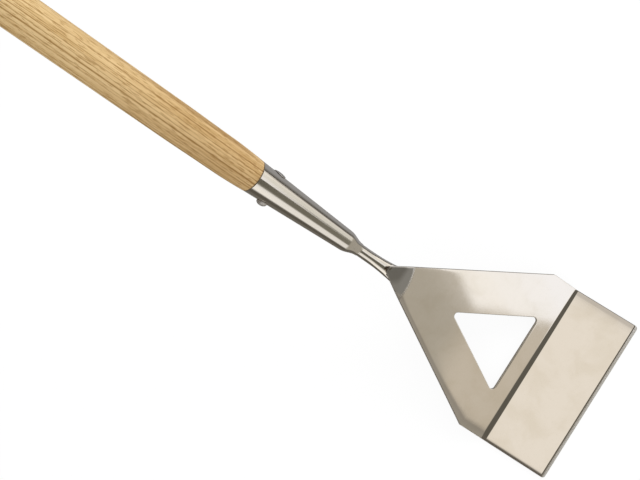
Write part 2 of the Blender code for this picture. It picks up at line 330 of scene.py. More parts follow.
def makeSteel(name, values, onTheHandle=True):
    # The lines run along Y, so for a piece on the handle its space is turned again.
    material, tree, shader = newMaterial(name)
    if onTheHandle:
        inputs = {"Vector": handleSpace(tree), "Rotation": (quarterTurn, 0.0, 0.0)}
        coords = addNode(tree, "ShaderNodeMapping", inputs).outputs[0]
    else:
        coords = objectSpace(tree)
    inputs = {"Coords": coords, "Bright": opaque(values["bright"]), "Dull": opaque(values["dull"])}
    inputs.update({"Cloud": values["cloud"], "Gloss": values["gloss"], "Smear": values["smear"]})
    finish = addNode(tree, "ShaderNodeGroup", inputs, node_tree=steelGroup).outputs
    finished = (finish["Color"], finish["Roughness"], finish["Height"])
    setSurface(tree, shader, *finished, values["bump"], polish["bumpDistance"])
    fill(shader, {"Metallic": 1.0})
    return material


steelGroup = makeSteelGroup()
print("steel finish ready")


# Head: one sheet with an open triangle, bent across and curled up to the neck

head = {
    "bladeCorner": 0.0025,
    "shoulderCorner": 0.002,
    "tipCorner": 0.0034,
    "fold": math.radians(4.5),  # sudden turn with which the tip leaves the flat plate
    "foldEase": 0.0008,  # length of sheet in which the fold turns
    "foldLength": 0.0222,  # from the fold's start to the foot, on the line foldMiddle
    "foldLeast": 0.004,  # and at least this much at the sides
    "foldMiddle": 0.006,
    "foldBow": 10.0,  # how fast the fold comes nearer to the tip at its sides
    "holeFromBend": 0.0161,
    "armWidth": 0.036,
    "armFlare": math.radians(0.8),
    "holeCorner": 0.003,
    "edgeRound": 0.0004,
    "grindLength": 0.0033,
    "grindPower": 1.7,
    "cuttingEdge": 0.0007,
    "bendAtSide": (0.0078, 0.0125),  # inner radius of the bend at -X and at +X
    "bladeRoll": (0.00005, 0.0042),  # how far, and how wide, polishing has rolled the
    "plateRoll": (0.00002, 0.0035),  # flats down towards their rims
    "plateRollPlus": (0.00009, 0.0100),  # the same at the plate's +X side
    "tipRoll": 1.2,  # how much more the +X side is rolled near the tip
    "tipRollStart": 0.05,  # distance from the bend where that begins, and its length
    "tipRollLength": 0.08,
    "rollBlends": (0.008, 0.004),  # lengths in which it changes at the bend, and from -X to +X
    # Where a row's points lie on half an arm, and how many it has across the middle
    "armColumns": (0.0, 0.004, 0.012, 0.03, 0.06, 0.1, 0.16, 0.24, 0.33, 0.42, 0.5),
    "middleColumns": 25,
    "bright": (0.87, 0.81, 0.735),
    "dull": (0.80, 0.735, 0.64),
    "cloud": 0.8,
    "gloss": 0.02,
    "smear": 0.02,
    "bump": 0.02,
}


def roundedHalf(corners, angles, radii, inset, steps=9):
    # The right half of a rounded outline, moved in by inset: x, distance and the way
    # that its side faces, for each sample of its corner arcs.
    xs, distances, faces = [], [], []
    for (x, distance), (first, last), radius in zip(corners, angles, radii):
        turn = np.linspace(first, last, steps)
        one = np.array((math.cos(first), math.sin(first)))
        two = np.array((math.cos(last), math.sin(last)))
        centre = np.array((x, distance)) - radius * (one + two) / (1.0 + one @ two)
        xs.append(centre[0] + (radius - inset) * np.cos(turn))
        distances.append(centre[1] + (radius - inset) * np.sin(turn))
        faces.append(turn)
    return np.concatenate(xs), np.concatenate(distances), np.concatenate(faces)


def headOutline():
    # Blade corner, shoulder and tip of the flat blank, inside the rounding of its edge.
    halfBlade, halfTip, side = 0.5 * blank["bladeWidth"], 0.5 * blank["tipWidth"], blank["apexHalf"]
    corners = (
        (halfBlade, -blank["bladeLength"]),
        (halfBlade, blank["sideLength"]),
        (halfTip, blank["tip"]),
    )
    angles = ((-quarterTurn, 0.0), (0.0, side), (side, quarterTurn))
    radii = (head["bladeCorner"], head["shoulderCorner"], head["tipCorner"])
    return roundedHalf(corners, angles, radii, head["edgeRound"])


def holeOutline(steps=15):
    # Corner beside the bend, and half of the apex, whose arc lies on the middle line.
    side = blank["apexHalf"] - head["armFlare"]
    apex = blank["apexDistance"] - head["armWidth"] / math.sin(blank["apexHalf"])
    corner = ((apex - head["holeFromBend"]) * math.tan(side), head["holeFromBend"])
    radius, edge = head["holeCorner"], head["edgeRound"]
    x, distance, facing = roundedHalf((corner,), ((-quarterTurn, side),), (radius,), -edge, steps)
    turn = np.linspace(side, quarterTurn, steps)
    x = np.append(x, (radius + edge) * np.cos(turn))
    distance = np.append(distance, apex - radius / math.sin(side) + (radius + edge) * np.sin(turn))
    return x, distance, np.append(facing, turn)


def sheetRows(outer, hole):
    # Distances at which rows cross the sheet: each sample of both outlines, and rows
    # that are closer together where the sheet bends, folds, curls or is ground.
    curl = blank["foot"] - blank["tipCurve"]
    ground = head["grindLength"]
    stretches = (  # counted from, first, last and spacing
        (0.0, -0.0033, 0.0034, 0.00015),  # bend
        (0.0, 0.0045, curl, 0.002),  # flat of the plate
        (0.0, curl, outer[-1], 0.0005),
        (blank["foot"], -0.0228, -0.0165, 0.0001),  # fold
        (0.0, ground + 0.001 - blank["bladeLength"], -0.0045, 0.002),  # flat of the blade
        (outer[0], 0.0001, ground + 0.0004, 0.0002),
    )
    rows = [origin + np.arange(first, last, spacing) for origin, first, last, spacing in stretches]
    rows = np.unique(np.round(np.concatenate((outer, hole, *rows, outer[-1:] - 0.0002)), 7))
    rows = rows[np.concatenate(([True], np.diff(rows) > 3.0 * meshing["merge"]))]
    rows[-1] = outer[-1]
    return rows


def folded(x, distance):
    # Height that turns the even curl of the tip into a fold and a gentler curl, both
    # of which come to the same place at the foot.
    long = head["foldLength"] - head["foldBow"] * (x - head["foldMiddle"]) ** 2
    long = np.maximum(long, head["foldLeast"])
    curve = blank["tipCurve"]
    even = (blank["handleAngle"] - blank["plateAngle"]) / curve
    ease = head["foldEase"]
    gentle = (even * curve**2 - 2.0 * head["fold"] * (long - 0.5 * ease)) / long**2
    past = np.clip(distance - blank["foot"] + curve, 0.0, curve)
    over = np.clip(distance - blank["foot"] + long, 0.0, long)
    turned = np.where(over < ease, 0.5 * over**2 / ease, over - 0.5 * ease)
    return head["fold"] * turned + 0.5 * gentle * over**2 - 0.5 * even * past**2


def rolledOff(x, distance, toSide):
    # How far the top falls towards its rim: the cube of the nearness to the rim, by a
    # depth that changes from blade to plate, from side to side and towards the tip.
    alongBlend, acrossBlend = head["rollBlends"]
    onPlate = cubicStep(0.5 + distance / alongBlend)
    plus = cubicStep(0.5 + x / acrossBlend)
    plate = (between(*ends, plus) for ends in zip(head["plateRoll"], head["plateRollPlus"]))
    depth, width = (between(*ends, onPlate) for ends in zip(head["bladeRoll"], plate))
    nearTip = cubicStep((distance - head["tipRollStart"]) / head["tipRollLength"])
    depth = depth * (1.0 + head["tipRoll"] * plus * nearTip)
    return depth * np.maximum(0.0, 1.0 - toSide / width) ** 3


def bentSheet(x, distance, height):
    # Thins the front as a power of the distance into the ground part, then lays the
    # blank on the bent sheet, whose bend opens as the square root of the way across.
    ground = 1.0 - np.clip((distance + blank["bladeLength"]) / head["grindLength"], 0.0, 1.0)
    thickness = between(blank["sheet"], head["cuttingEdge"], ground ** head["grindPower"])
    height = (height + halfSheet) * thickness / blank["sheet"] - halfSheet
    across = np.clip(0.5 + x / blank["bladeWidth"], 0.0, 1.0)
    radius = between(*head["bendAtSide"], np.sqrt(across))
    return onSheet(x, distance, height + folded(x, distance), radius)


def rimAround(x, distance, facing, outward, drop):
    # Quarter rounds at the top and underside, carried along a closed path: out by the
    # sine of a turn and down by one less its cosine. Outward is -1 for the hole.
    edge = head["edgeRound"]
    turns = np.linspace(0.0, quarterTurn, 6)
    out = outward * edge * np.concatenate((np.sin(turns), np.sin(turns)[::-1]))
    rise = halfSheet - edge * (1.0 - np.cos(turns))
    share = np.concatenate((np.cos(turns), np.zeros(len(turns))))
    height = np.concatenate((rise, -rise[::-1])) - drop[:, None] * share
    x = x[:, None] + out * np.cos(facing)[:, None]
    distance = distance[:, None] + out * np.sin(facing)[:, None]
    faces = gridFaces(len(drop) + 1, len(out)) % (len(drop) * len(out))
    return bentSheet(x, distance, height), faces


def outerRim(rows, x, facing, drop):
    # Up the right side, over the tip, down the left side and along the cutting edge.
    ends = np.ones(x.shape[1] - 2)
    return rimAround(
        np.concatenate((x[:, -1], x[-1, 1:-1][::-1], x[::-1, 0], x[0, 1:-1])),
        np.concatenate((rows, rows[-1] * ends, rows[::-1], rows[0] * ends)),
        np.concatenate((facing, quarterTurn * ends, math.pi - facing[::-1], -quarterTurn * ends)),
        1.0,
        np.concatenate((drop[:, -1], drop[-1, 1:-1][::-1], drop[::-1, 0], drop[0, 1:-1])),
    )


def holeRim(rows, opening, facing):
    # Up the triangle's right side, down its left side and along its base.
    base = np.linspace(-1.0, 1.0, head["middleColumns"])[1:-1]
    return rimAround(
        np.concatenate((opening, -opening[::-1], opening[0] * base)),
        np.concatenate((rows, rows[::-1], np.full(len(base), rows[0]))),
        np.concatenate((facing, math.pi - facing[::-1], np.full(len(base), -quarterTurn))),
        -1.0,
        np.zeros(2 * len(rows) + len(base)),
    )


def sheetColumns(width, opening):
    # Each row's places across the sheet: left arm, middle and right arm.
    arm = np.array(head["armColumns"])
    arm = np.concatenate((arm, 1.0 - arm[-2::-1]))
    leftArm = -width[:, None] + (width - opening)[:, None] * arm
    centre = opening[:, None] * np.linspace(-1.0, 1.0, head["middleColumns"])[1:-1]
    return np.concatenate((leftArm, centre, -leftArm[:, ::-1]), axis=1)


def sheetFaces(rows, columns, middleLeftOut):
    # Quads between the rows, without the middle ones where the triangle is open.
    quads = gridFaces(rows, columns).reshape(rows - 1, columns - 1, 4)
    armFaces = (columns - head["middleColumns"]) // 2
    covered = np.ones(quads.shape[:2], bool)
    covered[middleLeftOut, armFaces : columns - 1 - armFaces] = False
    return quads[covered]


def makeHead():
    # Rows run across the sheet at set distances from the bend, and each row's columns
    # fill its two arms and the middle, so that the open triangle is left out between
    # rows. Rims of quarter rounds join the top to the underside.
    outerX, outerDistance, outerFacing = headOutline()
    holeX, holeDistance, holeFacing = holeOutline()
    rows = sheetRows(outerDistance, holeDistance)
    width = np.interp(rows, outerDistance, outerX)
    facing = np.interp(rows, outerDistance, outerFacing)
    inHole = (rows > holeDistance[0] - meshing["flat"]) & (rows < holeDistance[-1] + meshing["flat"])
    aboveHole = rows >= holeDistance[-1] - meshing["flat"]
    opening = np.where(aboveHole, 0.0, np.interp(rows, holeDistance, holeX))
    x = sheetColumns(width, opening)
    distance = np.broadcast_to(rows[:, None], x.shape)
    toSide = (width[:, None] - np.abs(x)) * np.cos(facing)[:, None]
    toSide = np.minimum(toSide, np.maximum(rows[-1] - distance, 0.0))
    drop = rolledOff(x, distance, toSide)
    faces = sheetFaces(*x.shape, (inHole[:-1] & inHole[1:]) | aboveHole[:-1])
    parts = (
        (bentSheet(x, distance, halfSheet - drop), faces),
        (bentSheet(x, distance, np.full(x.shape, -halfSheet)), faces[:, ::-1]),
        outerRim(rows, x, facing, drop),
        holeRim(rows[inHole], opening[inHole], np.interp(rows[inHole], holeDistance, holeFacing)),
    )
    addPiece("hoeHead", *joinGrids(parts), makeHeadSteel(), "hoe_head", "head_steel")


# Finish of the head: polished, with a ground front, a rougher crease darkened as painted shade, and painted
# shade on the tip's end

headFinish = {
    "facet": 0.0016,  # width of the whetted facet along the front
    "facetBlur": (-0.0006, 0.0004),  # where the change to it begins and ends
    "scratchNoise": ((30.0, 1400.0, 1400.0), 2.0, 0.6),  # scratches that run along X
    "scratchRough": 0.08,
    "groundGloss": 0.42,
    "groundMetal": 0.85,  # under 1, since scratches scatter light as a matt surface does
    "groundColour": (0.93, 0.91, 0.88),
    "creaseBand": (0.0002, 0.0014),  # from the fold's line, fading out
    # Painted shade: the crease is darkened by multiplying with this colour
    "creaseShadeColour": (0.86, 0.86, 0.86),
    "creaseRough": 0.16,
    "tipShadeBand": (0.0009, 0.0004),  # short of the tip's end, where the painted shade begins and is full
    # Painted shade: the tip's end is darkened by multiplying with this colour
    "tipShadeColour": (0.30, 0.28, 0.25),
    "tipShadeRough": 0.30,
}


def wiredTo(shader, label):
    return shader.inputs[label].links[0].from_socket


def addGroundEdge(tree, shader):
    # Scratched, rougher steel on the facet that a stone has cut along the front.
    coords = objectSpace(tree)
    facet = 0.5 * blank["bladeLength"] - headFinish["facet"]
    begin, end = headFinish["facetBlur"]
    mask = remap(tree, splitSpace(tree, coords)[1], facet + begin, facet + end)
    scratches = grain(tree, coords, *headFinish["scratchNoise"])
    depth = headFinish["scratchRough"]
    rough = calc(tree, "MULTIPLY_ADD", scratches, depth, headFinish["groundGloss"] - 0.5 * depth)
    rough = calc(tree, "MULTIPLY_ADD", mask, rough, wiredTo(shader, "Roughness"))
    metal = remap(tree, mask, 0.0, 1.0, 1.0, headFinish["groundMetal"])
    scratched = calc(tree, "MULTIPLY", mask, scratches)
    colour = wiredTo(shader, "Base Color")
    colour = mixColour(tree, scratched, colour, opaque(headFinish["groundColour"]))
    fill(shader, {"Roughness": rough, "Metallic": metal, "Base Color": colour})


def shadeAndRoughenSteel(tree, shader, mask, shadeColour, rough):
    # Paints shade by darkening the colour, and roughens the polished steel, where the mask is 1.
    roughened = calc(tree, "MULTIPLY_ADD", mask, rough, wiredTo(shader, "Roughness"))
    shaded = mixColour(tree, mask, wiredTo(shader, "Base Color"), opaque(shadeColour), "MULTIPLY")
    fill(shader, {"Roughness": roughened, "Base Color": shaded})


def addCreaseShade(tree, shader):
    # A soft band along the fold, whose line is a parabola across the sheet: rougher steel, and painted
    # shade that darkens it.
    split = splitSpace(tree, objectSpace(tree))
    start = blank["foot"] - head["foldLength"] + 0.5 * head["foldEase"]
    line = onSheet(head["foldMiddle"], start, halfSheet)[1]
    bow = -head["foldBow"] * math.cos(blank["plateAngle"])
    fromMiddle = calc(tree, "SUBTRACT", split[0], head["foldMiddle"])
    bowed = calc(tree, "MULTIPLY_ADD", calc(tree, "MULTIPLY", fromMiddle, fromMiddle), bow, line)
    away = calc(tree, "ABSOLUTE", calc(tree, "SUBTRACT", split[1], bowed))
    band = remap(tree, away, *headFinish["creaseBand"], 1.0, 0.0)
    shadeAndRoughenSteel(tree, shader, band, headFinish["creaseShadeColour"], headFinish["creaseRough"])


def addTipShade(tree, shader):
    # Painted shade on the very end of the tip, over the neck: a darker colour, and rougher steel.
    begin, full = headFinish["tipShadeBand"]
    along = splitSpace(tree, handleSpace(tree))[2]
    mask = remap(tree, along, blank["tipReach"] - begin, blank["tipReach"] - full)
    shadeAndRoughenSteel(tree, shader, mask, headFinish["tipShadeColour"], headFinish["tipShadeRough"])


def makeHeadSteel():
    material = makeSteel("headSteel", head, onTheHandle=False)
    tree = material.node_tree
    for addPart in (addGroundEdge, addCreaseShade, addTipShade):
        addPart(tree, tree.nodes["Principled BSDF"])
    return material


makeHead()


# Steel of the neck and the socket, to which each adds its gloss and its smears
roundSteel = {"bright": (0.87, 0.81, 0.73), "dull": (0.80, 0.73, 0.63), "cloud": 0.35, "bump": 0.02}


# Neck: a round rod that flares and flattens into a tang under the plate's tip

neck = {
    "tangWidth": 0.018,
    "tangThickness": 0.004,
    "tangLength": 0.030,
    "tangFlat": 0.6,  # share of the tang's length in which it flattens and spreads
    "tangEdge": 0.0022,
    "tangNose": 0.0009,  # rounding of the tang's very end
    "flareLength": 0.022,
    "flarePower": 2.4,
    "flareFlattening": 0.3,  # share of the flattening that shows past the plate
    "squareness": 1.5,
    "topSquareness": 14.0,  # of the side that lies against the plate
    "flareFlatter": 1.5,  # above 1, the flare has flattened before it ends
    "rodEnd": 0.067,
    "sides": 96,
    **roundSteel,
    "gloss": 0.09,
    "smear": 0.04,
}


def slowStep(value):
    # Half a cosine wave from 0 to 1.
    return 0.5 - 0.5 * np.cos(math.pi * np.clip(value, 0.0, 1.0))


def roundEnd(share):
    # Quarter of a circle, from 0 at the end to 1.
    return np.sqrt(1.0 - (1.0 - share) ** 2)


def signedPower(value, power):
    return np.sign(value) * np.abs(value) ** power


def makeNeck():
    # Each section is a superellipse whose width, depth and squareness follow its
    # distance from the foot, carried along the underside of the sheet's middle line.
    tang, flare, half = neck["tangLength"], neck["flareLength"], 0.5 * neck["tangWidth"]
    rodRadius, thickness = blank["rodRadius"], neck["tangThickness"]
    flat = neck["tangFlat"] * tang
    rod = np.linspace(neck["rodEnd"], flare, 40)
    spread = np.linspace(flare, half - tang, 90)[1:]
    nose = half * (1.0 - np.sin(np.linspace(0.02, quarterTurn, 28))) - tang
    along = np.concatenate((rod, spread, nose))[:, None]
    turn = np.linspace(0.0, fullTurn, neck["sides"], endpoint=False)

    square = slowStep(-along / flat)
    pressed = slowStep(neck["flareFlatter"] * (1.0 - along / flare))
    flatten = between(square, pressed, neck["flareFlattening"])
    depth = between(2.0 * rodRadius, thickness, flatten)
    toEnd = np.clip((along + tang) / half, 0.0, 1.0)
    depth = depth - (thickness - neck["tangEdge"]) * (1.0 - toEnd)
    depth = depth * roundEnd(np.clip((along + tang) / neck["tangNose"], 0.0, 1.0))
    reach = np.clip((flare - along) / (flare + flat), 0.0, 1.0)
    halfWidth = between(rodRadius, half, reach ** neck["flarePower"]) * roundEnd(toEnd)

    squareness = np.where(np.sin(turn) > 0.0, neck["topSquareness"], neck["squareness"])
    power = 2.0 / (2.0 + squareness * square)
    top = -halfSheet - blank["gap"]
    height = top - 0.5 * depth * (1.0 - signedPower(np.sin(turn), power))
    x, distance = np.broadcast_arrays(halfWidth * signedPower(np.cos(turn), power), blank["foot"] + along)
    points = onSheet(x, distance, height + folded(x, distance))
    cap = np.broadcast_to(points[:1].mean(axis=1, keepdims=True), (1, len(turn), 3))
    rings = np.concatenate((cap, points))
    addRoundPiece("neckRod", rings, makeSteel("neckSteel", neck), "neck", "neck_steel")


makeNeck()


# Socket: a long taper turned to a thin rim, closing to a rounded nose round the rod

socket = {
    "start": 0.031,
    "length": 0.1155,
    "mouth": 0.0275,
    "taper": 0.0956,  # how much width it loses for each metre
    "wall": 0.0016,
    "noseLength": 0.0155,
    "noseSolid": 0.040,
    "noseLip": 0.0001,
    "nosePower": 1.8,
    "rimRound": 0.0002,
    "sides": 160,
    **roundSteel,
    "gloss": 0.10,
    "smear": 0.05,
}
socketMouth = socket["start"] + socket["length"]
socketFloor = socket["start"] + socket["noseSolid"]


def coneRadius(along):
    return 0.5 * (socket["mouth"] - socket["taper"] * (socketMouth - along))


def turnedPoints(stretches, sides):
    # Joins stretches of radius and place into one line and turns it about the handle.
    line = np.concatenate([np.stack(np.broadcast_arrays(*part), axis=-1) for part in stretches])
    radius, along = line[:, :1], line[:, 1:]
    turn = np.linspace(0.0, fullTurn, sides, endpoint=False)
    return onHandle(radius * np.cos(turn), radius * np.sin(turn), along)


def makeSocket():
    # Outside taper, nose that closes as a power of a sine, rod bore, floor, tapered
    # bore and rounded rim.
    start, wall, edge = socket["start"], socket["wall"], socket["rimRound"]
    bore = blank["rodRadius"] + blank["gap"]
    lip = bore + socket["noseLip"]
    beside = 0.1 * edge  # a row this close keeps the shading of a rounding off the taper
    cone = np.linspace(socketMouth - edge - beside, start + socket["noseLength"], 60)
    share = np.linspace(1.0, 0.0, 50)[1:]
    nose = start + socket["noseLength"] * share
    swell = np.sin(quarterTurn * share) ** socket["nosePower"]
    deep = np.linspace(socketFloor, socketMouth - edge, 20)[1:]
    turns = np.linspace(0.0, quarterTurn, 6)
    outer = coneRadius(socketMouth - edge)
    inner = outer - wall
    floorRadius = coneRadius(socketFloor) - wall
    stretches = (
        (coneRadius(cone), cone),
        (between(lip, coneRadius(nose), swell), nose),
        (bore, np.linspace(start, socketFloor, 8)),
        (np.linspace(bore, floorRadius, 5)[1:], socketFloor),
        (coneRadius(deep) - wall, deep),
        (inner + edge * (1.0 - np.cos(turns[1:])), socketMouth - edge * (1.0 - np.sin(turns[1:]))),
        (outer - edge * (1.0 - np.sin(turns)), socketMouth - edge * (1.0 - np.cos(turns))),
        (coneRadius(cone[:1]), cone[:1]),
    )
    rings = turnedPoints(stretches, socket["sides"])
    addRoundPiece("socketShell", rings, makeSteel("socketSteel", socket), "socket", "socket_steel")


makeSocket()


# Rivet: a domed head on one side of the socket and a hammered one on the other

rivet = {
    "fromMouth": 0.0186,
    "shank": 0.0025,
    "shankEnds": (0.001, 0.012),  # how deep each half's rows begin and end
    "dome": (0.0045, 0.0028),  # radius and height
    "hammered": (0.0055, 0.0012),
    "sides": 48,
    "bright": (0.88, 0.84, 0.80),
    "dull": (0.62, 0.58, 0.53),
    "cloud": 1.0,
    "gloss": 0.46,
    "smear": 0.2,
    "bump": 0.15,
}


def rivetHalf(side, radius, height):
    # Quarter of an ellipse from the crown to the rim, in to the shank, and down it.
    turns = np.linspace(0.0, quarterTurn, 18)
    inward = np.linspace(radius, rivet["shank"], 5)[1:]
    down = -np.linspace(*rivet["shankEnds"], 6)
    reach = np.concatenate((radius * np.sin(turns), inward, np.full(len(down), rivet["shank"])))
    rise = np.concatenate((height * np.cos(turns), np.zeros(len(inward)), down))
    return np.stack(np.broadcast_arrays(reach, side, rise), axis=-1)


def makeRivet():
    # A line from one head's crown down the shank to the other's, turned about the
    # cross axis; each head's foot follows the socket's taper.
    line = np.concatenate((rivetHalf(1.0, *rivet["dome"]), rivetHalf(-1.0, *rivet["hammered"])[::-1]))
    radius, side, rise = line[:, :1], line[:, 1:2], line[:, 2:]
    turn = np.linspace(0.0, fullTurn, rivet["sides"], endpoint=False)
    above = radius * np.cos(turn)
    along = socketMouth - rivet["fromMouth"] + radius * np.sin(turn)
    outside = coneRadius(along) + blank["gap"]
    across = side * (np.sqrt(np.maximum(outside**2 - above**2, 0.0)) + rise)
    rings = onHandle(across, above, along)
    addRoundPiece("rivetPin", rings, makeSteel("rivetSteel", rivet), "rivet", "rivet_steel")


makeRivet()


# Shaft: turned ash with a swelling above the socket and a rounded shoulder

shaft = {
    "radius": 0.0155,
    "length": 1.3499,
    "collar": 0.0151,
    "rimStep": 0.0001,
    "shoulderLength": 0.031,
    "shoulderPower": 1.6,
    "endRound": 0.0005,
    "swellLength": 0.050,
    "buttLength": 0.011,
    "buttPower": 0.8,
    "tenonGap": 0.005,
    "sides": 128,
}


def makeShaft():
    # Domed butt, long round, slight swell down to the collar, shoulder that rounds
    # over as a power of its length, and a tapered tenon inside the socket.
    start = socketFloor + shaft["tenonGap"]
    end = start + shaft["length"]
    seat = socketMouth + blank["gap"]
    collarEnd = seat + shaft["shoulderLength"]
    swellEnd = collarEnd + shaft["swellLength"]
    buttStart = end - shaft["buttLength"]
    rim = 0.5 * socket["mouth"] + shaft["rimStep"]
    edge = shaft["endRound"]
    turns = np.linspace(0.0, quarterTurn, 24)
    butt = shaft["radius"] * np.sin(turns) ** shaft["buttPower"]
    swell = np.linspace(swellEnd, collarEnd, 24)[1:]
    bulge = between(shaft["collar"], shaft["radius"], cubicStep((swell - collarEnd) / shaft["swellLength"]))
    share = np.linspace(0.0, 1.0, 44)[1:]
    shoulder = between(shaft["collar"], rim, share ** shaft["shoulderPower"])
    corner = np.linspace(0.0, quarterTurn, 6)[1:]
    tenon = np.linspace(seat, start, 24)
    inside = coneRadius(tenon) - socket["wall"] - blank["gap"]
    stretches = (
        (butt, end - shaft["buttLength"] * (1.0 - np.cos(turns))),
        (shaft["radius"], np.linspace(buttStart, swellEnd, 130)[1:]),
        (bulge, swell),
        (shoulder, seat + edge + (shaft["shoulderLength"] - edge) * (1.0 - share)),
        (rim - edge * (1.0 - np.cos(corner)), seat + edge * (1.0 - np.sin(corner))),
        (np.linspace(rim - edge, inside[0], 4)[1:], seat),
        (inside[1:], tenon[1:]),
        (np.linspace(inside[-1], 0.0, 5)[1:], start),
    )
    rings = turnedPoints(stretches, shaft["sides"])
    addRoundPiece("ashHandle", rings, makeWood(), "ash_shaft", "ash_wood")


# Ash: rings about a pith beside the shaft, open vessels, fibre, a lower end stained by use, and painted
# shadow at the socket's mouth

wood = {
    "pale": (0.83, 0.59, 0.285),
    "honey": (0.57, 0.35, 0.115),
    "vessel": (0.36, 0.18, 0.030),
    "ringStep": 0.0031,  # mean width of a year's growth
    "ringUneven": 1.5,
    "ringNoise": {"Scale": 0.45, "Detail": 1.0},  # from year to year
    "pith": (-0.042, 0.024),  # centre of the tree, beside the shaft
    "pithLean": 0.006,
    "driftDepth": 0.022,  # how far slow and quick waves move a ring
    "rippleDepth": 0.0011,
    # Each grain: scales across, across and along the handle, detail and roughness
    "drift": ((9.0, 9.0, 1.6), 2.0, 0.5),
    "ripple": ((60.0, 60.0, 9.0), 2.0, 0.55),
    "pores": ((1250.0, 1250.0, 125.0), 1.0, 0.5),
    "fibre": ((900.0, 900.0, 36.0), 3.0, 0.6),
    "strand": ((360.0, 360.0, 7.0), 2.0, 0.55),
    "broad": ((34.0, 34.0, 5.0), 2.0, 0.5),
    "streak": ((160.0, 160.0, 4.0), 2.0, 0.5),
    "earlyStart": (0.0, 0.06),  # rise, fall and rise of the early and late wood in a year
    "earlyEnd": (0.14, 0.34),
    "lateStart": (0.45, 1.0),
    "lateTone": 0.25,
    "strandTone": 1.6,
    "fibreTone": 1.5,
    "broadTone": (0.25, 0.80, -0.05, 0.75),
    "dashes": (0.93, 1.06),
    "dashShare": 0.65,
    "dashCrowd": (0.12, 0.38),  # in the early wood more than elsewhere, and everywhere
    "streakShare": (0.35, 0.65, 0.40, 0.95),
    "rough": 0.40,
    "fibreRough": 0.12,
    "dashRough": 0.18,
    "fibreHeight": 0.3,
    "earlyHeight": -0.25,
    "dashHeight": -0.8,
    "handled": (0.16, 0.36),  # along the handle, where the grey of use fades out
    "handledTint": (0.895, 0.855, 0.82),
    "jointShadowFade": (0.0004, 0.0016, 0.6),  # painted shadow of the gap at the socket's mouth; from the mouth: start and end of its fading, strength
    "jointShadowColour": (0.13, 0.07, 0.03),
    "bump": 0.35,
    "bumpDistance": 0.0002,
    "coat": 0.12,
    "coatRough": 0.3,
}


def centred(tree, value, amount, base, clamp=False):
    # Adds a noise, taken from its middle, to the base.
    return calc(tree, "MULTIPLY_ADD", calc(tree, "SUBTRACT", value, 0.5), amount, base, clamp=clamp)


def ringSeasons(tree, coords, split):
    # Growth rings are circles about the pith, bent by slow noise along the grain. The
    # part of a year after the last whole one gives its early and its late wood.
    drift = grain(tree, coords, *wood["drift"])
    ripple = grain(tree, coords, *wood["ripple"])
    x = centred(tree, drift, wood["driftDepth"], calc(tree, "SUBTRACT", split[0], wood["pith"][0]))
    y = calc(tree, "SUBTRACT", split[1], wood["pith"][1])
    y = calc(tree, "MULTIPLY_ADD", split[2], wood["pithLean"], y)
    squares = calc(tree, "ADD", calc(tree, "MULTIPLY", x, x), calc(tree, "MULTIPLY", y, y))
    radius = centred(tree, ripple, wood["rippleDepth"], calc(tree, "SQRT", squares))
    years = calc(tree, "DIVIDE", radius, wood["ringStep"])
    inputs = {"W": years, **wood["ringNoise"]}
    uneven = addNode(tree, "ShaderNodeTexNoise", inputs, noise_dimensions="1D").outputs["Fac"]
    season = calc(tree, "FRACT", calc(tree, "MULTIPLY_ADD", uneven, wood["ringUneven"], years))
    start = remap(tree, season, *wood["earlyStart"])
    end = remap(tree, season, *wood["earlyEnd"], 1.0, 0.0)
    return calc(tree, "MULTIPLY", start, end), remap(tree, season, *wood["lateStart"])


def makeWood():
    # Late wood and fibres make the tone, and vessels cut lengthwise show as short dark
    # dashes, crowded in the early wood.
    material, tree, shader = newMaterial("ashWood")
    coords = handleSpace(tree)
    split = splitSpace(tree, coords)
    early, late = ringSeasons(tree, coords, split)
    pores, fibre, strand, broad, streak = (
        grain(tree, coords, *wood[name]) for name in ("pores", "fibre", "strand", "broad", "streak")
    )
    tone = calc(tree, "MULTIPLY_ADD", late, wood["lateTone"], remap(tree, broad, *wood["broadTone"]))
    tone = centred(tree, strand, wood["strandTone"], tone)
    tone = centred(tree, fibre, wood["fibreTone"], tone, clamp=True)
    colour = mixColour(tree, tone, opaque(wood["pale"]), opaque(wood["honey"]))

    crowd = calc(tree, "MULTIPLY_ADD", early, *wood["dashCrowd"])
    dashes = remap(tree, calc(tree, "ADD", pores, crowd), *wood["dashes"])
    strength = remap(tree, streak, *wood["streakShare"])
    for mask, share in ((early, strength), (dashes, wood["dashShare"])):
        colour = mixColour(tree, calc(tree, "MULTIPLY", mask, share), colour, opaque(wood["vessel"]))

    handled = remap(tree, split[2], *wood["handled"], 1.0, 0.0)
    colour = mixColour(tree, handled, colour, opaque(wood["handledTint"]), "MULTIPLY")
    # Painted shadow: the wood is darkened just above the socket's mouth, where the gap to the steel is in
    # shade
    begin, end, shadowStrength = wood["jointShadowFade"]
    jointShadow = remap(tree, split[2], socketMouth + begin, socketMouth + end, shadowStrength, 0.0)
    colour = mixColour(tree, jointShadow, colour, opaque(wood["jointShadowColour"]))

    rough = calc(tree, "MULTIPLY_ADD", fibre, wood["fibreRough"], wood["rough"])
    rough = calc(tree, "MULTIPLY_ADD", dashes, wood["dashRough"], rough)
    height = calc(tree, "MULTIPLY", fibre, wood["fibreHeight"])
    height = calc(tree, "MULTIPLY_ADD", early, wood["earlyHeight"], height)
    height = calc(tree, "MULTIPLY_ADD", dashes, wood["dashHeight"], height)
    setSurface(tree, shader, colour, rough, height, wood["bump"], wood["bumpDistance"])
    fill(shader, {"Coat Weight": wood["coat"], "Coat Roughness": wood["coatRough"]})
    return material


makeShaft()


# Studio: a white floor and room, a soft lamp, and cards that polished metal reflects

